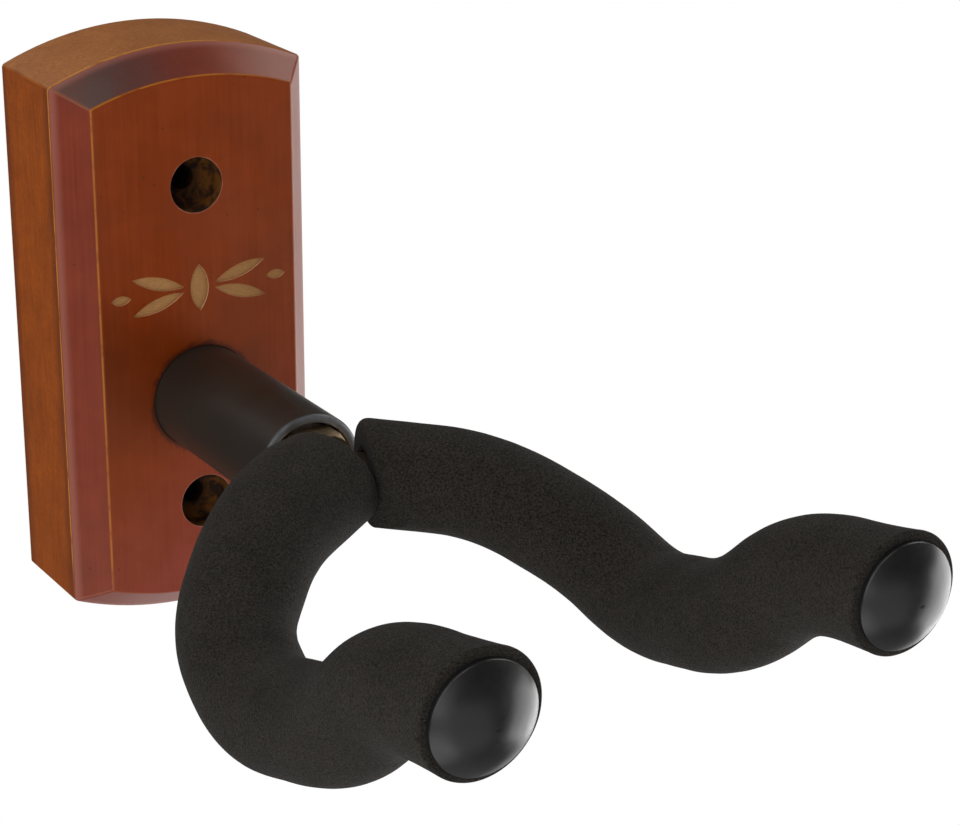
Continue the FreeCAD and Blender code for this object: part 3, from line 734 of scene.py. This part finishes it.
def tube_faces(rings, sides):
    """Four-sided faces that join each ring to the next, and the last one back to the first."""
    faces = []
    for ring in range(rings):
        here, following = ring * sides, (ring + 1) % rings * sides
        for turn in range(sides):
            beside = (turn + 1) % sides
            faces.append((here + turn, following + turn, following + beside, here + beside))
    return faces


def make_sleeve(side, name):
    vertices = sleeve_vertices(side)
    mesh = bpy.data.meshes.new(name)
    mesh.from_pydata(vertices, [], tube_faces(len(vertices) // FOAM_SIDES, FOAM_SIDES))
    mesh.validate()
    mesh.shade_smooth()
    sleeve = bpy.data.objects.new(name, mesh)
    bpy.context.scene.collection.objects.link(sleeve)
    return sleeve


# ---------------------------------------------------------------- studio

def make_panel(name, azimuth, elevation, half_width, half_height, radiance):
    """A plain white panel that faces the object; it lights and reflects, but isn't seen itself."""
    across, up = math.radians(azimuth), math.radians(elevation)
    toward = Vector((math.cos(across) * math.cos(up), math.sin(across) * math.cos(up), math.sin(up)))
    light = bpy.data.lights.new(name, "AREA")
    light.shape = "RECTANGLE"
    light.size = 2 * PANEL_DISTANCE * math.tan(math.radians(half_width))
    light.size_y = 2 * PANEL_DISTANCE * math.tan(math.radians(half_height))
    light.energy = radiance * math.pi * light.size * light.size_y
    panel = bpy.data.objects.new(name, light)
    panel.location = OBJECT_MIDDLE + toward * PANEL_DISTANCE
    panel.rotation_euler = toward.to_track_quat("Z", "Y").to_euler()
    panel.visible_camera = False
    bpy.context.scene.collection.objects.link(panel)


def make_floor():
    """A pale floor far below: white to look at, and only a soft grey in its light on the object."""
    mesh = bpy.data.meshes.new("floor")
    corners = [(x * FLOOR_REACH, y * FLOOR_REACH, FLOOR_Z) for x, y in ((-1, -1), (1, -1), (1, 1), (-1, 1))]
    mesh.from_pydata(corners, [], [(0, 1, 2, 3)])
    floor = bpy.data.objects.new("floor", mesh)
    bpy.context.scene.collection.objects.link(floor)
    paint = Paint("floor_paint")
    seen = paint.node("LightPath").outputs["Is Camera Ray"]
    glow = paint.node("Emission", {"Color": (1.0, 1.0, 1.0, 1.0), "Strength": 1.0}).outputs[0]
    matte = paint.node("BsdfDiffuse", {"Color": (FLOOR_GREY, FLOOR_GREY, FLOOR_GREY, 1.0)}).outputs[0]
    shown = paint.node("MixShader", {0: seen, 1: matte, 2: glow}).outputs[0]
    paint.feed(paint.tree.nodes["Material Output"].inputs["Surface"], shown)
    mesh.materials.append(paint.material)


def make_world():
    world = bpy.data.worlds.new("studio")
    world.use_nodes = True
    nodes, links = world.node_tree.nodes, world.node_tree.links
    background = nodes["Background"]
    background.inputs["Color"].default_value = (1.0, 1.0, 1.0, 1.0)
    seen = nodes.new("ShaderNodeLightPath")
    strength = nodes.new("ShaderNodeMapRange")
    strength.inputs["To Min"].default_value = WORLD_LIGHT
    strength.inputs["To Max"].default_value = 1.0
    links.new(seen.outputs["Is Camera Ray"], strength.inputs["Value"])
    links.new(strength.outputs["Result"], background.inputs["Strength"])
    bpy.context.scene.world = world


def make_camera():
    camera = bpy.data.objects.new("camera", bpy.data.cameras.new("camera"))
    camera.data.lens = CAMERA_LENS
    camera.data.sensor_width = 36.0
    camera.data.clip_start = 0.01
    camera.data.clip_end = 60.0
    back = Vector((math.sin(CAMERA_YAW) * math.cos(CAMERA_PITCH),
                   -math.cos(CAMERA_YAW) * math.cos(CAMERA_PITCH), math.sin(CAMERA_PITCH)))
    right = Vector((math.cos(CAMERA_YAW), math.sin(CAMERA_YAW), 0))
    up = back.cross(right)
    tilted_right = right * math.cos(CAMERA_ROLL) + up * math.sin(CAMERA_ROLL)
    tilted_up = up * math.cos(CAMERA_ROLL) - right * math.sin(CAMERA_ROLL)
    turn = Matrix((tilted_right, tilted_up, back)).transposed()
    camera.matrix_world = Matrix.Translation(CAMERA_PLACE) @ turn.to_4x4()
    bpy.context.scene.collection.objects.link(camera)
    bpy.context.scene.camera = camera


def make_studio():
    make_floor()
    make_world()
    make_camera()
    for name, settings in PANELS.items():
        make_panel(name, *settings)
    view = bpy.context.scene.view_settings
    view.view_transform = "Standard"
    view.look = "None"


# ---------------------------------------------------------------- assembly

MATERIALS = make_materials()
for part in frame["record"]["subparts"]:
    shape = frame["nodes"][part["node"]]
    shape.data.materials.clear()
    shape.data.materials.append(MATERIALS[part["material_slot"]])

for side, hand in ((1, "right"), (-1, "left")):
    sleeve = make_sleeve(side, "foam_skin_" + hand)
    sleeve.data.materials.append(MATERIALS["black_foam"])
    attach(sleeve, "yoke")
    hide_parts("foam_sleeve_" + hand)

make_studio()

bpy.context.view_layer.update()
